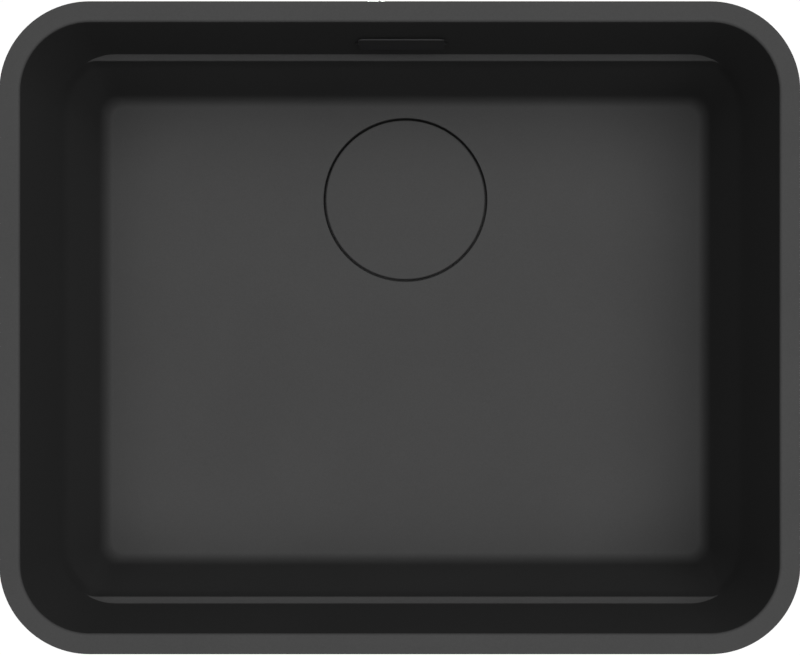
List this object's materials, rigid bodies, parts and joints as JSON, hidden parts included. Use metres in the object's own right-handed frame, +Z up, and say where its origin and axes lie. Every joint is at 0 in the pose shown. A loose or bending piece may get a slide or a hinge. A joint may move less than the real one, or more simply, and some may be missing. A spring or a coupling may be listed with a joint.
{
  "type": "kitchen sink",
  "caption": "Rectangular kitchen sink bowl to mount under a worktop: rounded corners, slim flat rim, stepped ledge, wall overflow with a cover, round drain cover over a strainer and waste.",
  "frame": {"origin": "centre of the rim's flat top face, in the plane that meets the worktop", "axes": "+X to the right along the long side, +Y to the rear, where the overflow is, +Z up out of the bowl"},
  "size_m": [0.5412, 0.4664, 0.335],
  "materials": {
    "composite": "matt granite composite, fine even grain",
    "overflow_plastic": "matt moulded plastic, coloured like the bowl",
    "steel": "pressed and satin stainless steel",
    "zinc_steel": "bright zinc plate",
    "insert_brass": "turned brass",
    "black_plastic": "moulded polypropylene",
    "hose_plastic": "soft ribbed plastic",
    "rubber": "soft black rubber"
  },
  "bodies": {
    "sink": {"bowl": "composite", "rim_inserts": "insert_brass", "arm_screws": "zinc_steel", "arm_washers": "zinc_steel", "waste_flange": "steel", "flange_seal": "rubber", "centre_screw": "steel", "body_seal": "rubber", "waste_body": "black_plastic", "centre_insert": "insert_brass", "outlet_seal": "rubber", "outlet_nut": "black_plastic", "outlet_bend": "black_plastic", "overflow_gasket": "rubber", "overflow_body": "black_plastic", "overflow_screws": "zinc_steel", "overflow_inserts": "insert_brass", "overflow_hose": "hose_plastic", "hose_clip_top": "zinc_steel", "hose_clip_bottom": "zinc_steel"},
    "basket": {"basket_cup": "steel", "basket_knob": "steel", "basket_nut": "steel", "basket_seal": "rubber"},
    "cover": {"drain_cover": "composite", "cover_ring": "steel", "cover_feet": "rubber"},
    "overflow_front": {"overflow_cover": "overflow_plastic"},
    "arm_rear_left_body": {"arm_rear_left": "zinc_steel"},
    "arm_rear_right_body": {"arm_rear_right": "zinc_steel"},
    "arm_front_left_body": {"arm_front_left": "zinc_steel"},
    "arm_front_right_body": {"arm_front_right": "zinc_steel"},
    "arm_left_rear_body": {"arm_left_rear": "zinc_steel"},
    "arm_left_front_body": {"arm_left_front": "zinc_steel"},
    "arm_right_rear_body": {"arm_right_rear": "zinc_steel"},
    "arm_right_front_body": {"arm_right_front": "zinc_steel"}
  },
  "joints": [
    {"name": "arm_rear_left_swing", "type": "hinge", "parent": "sink", "child": "arm_rear_left_body", "pos_m": [-0.16, 0.2152, -0.0166], "axis": [0, 0, 1], "range_deg": [0, 90]},
    {"name": "arm_rear_right_swing", "type": "hinge", "parent": "sink", "child": "arm_rear_right_body", "pos_m": [0.16, 0.2152, -0.0166], "axis": [0, 0, -1], "range_deg": [0, 90]},
    {"name": "arm_front_left_swing", "type": "hinge", "parent": "sink", "child": "arm_front_left_body", "pos_m": [-0.16, -0.2152, -0.0166], "axis": [0, 0, -1], "range_deg": [0, 90]},
    {"name": "arm_front_right_swing", "type": "hinge", "parent": "sink", "child": "arm_front_right_body", "pos_m": [0.16, -0.2152, -0.0166], "axis": [0, 0, 1], "range_deg": [0, 90]},
    {"name": "arm_left_rear_swing", "type": "hinge", "parent": "sink", "child": "arm_left_rear_body", "pos_m": [-0.2652, 0.11, -0.0166], "axis": [0, 0, -1], "range_deg": [0, 90]},
    {"name": "arm_left_front_swing", "type": "hinge", "parent": "sink", "child": "arm_left_front_body", "pos_m": [-0.2652, -0.11, -0.0166], "axis": [0, 0, 1], "range_deg": [0, 90]},
    {"name": "arm_right_rear_swing", "type": "hinge", "parent": "sink", "child": "arm_right_rear_body", "pos_m": [0.2652, 0.11, -0.0166], "axis": [0, 0, 1], "range_deg": [0, 90]},
    {"name": "arm_right_front_swing", "type": "hinge", "parent": "sink", "child": "arm_right_front_body", "pos_m": [0.2652, -0.11, -0.0166], "axis": [0, 0, -1], "range_deg": [0, 90]},
    {"name": "basket_lift", "type": "slide", "parent": "sink", "child": "basket", "axis": [0, 0, 1], "range_m": [0, 0.26]},
    {"name": "cover_lift", "type": "slide", "parent": "basket", "child": "cover", "axis": [0, 0, 1], "range_m": [0, 0.22]},
    {"name": "overflow_cover_pull", "type": "slide", "parent": "sink", "child": "overflow_front", "axis": [0, -1, 0], "range_m": [0, 0.05]}
  ]
}
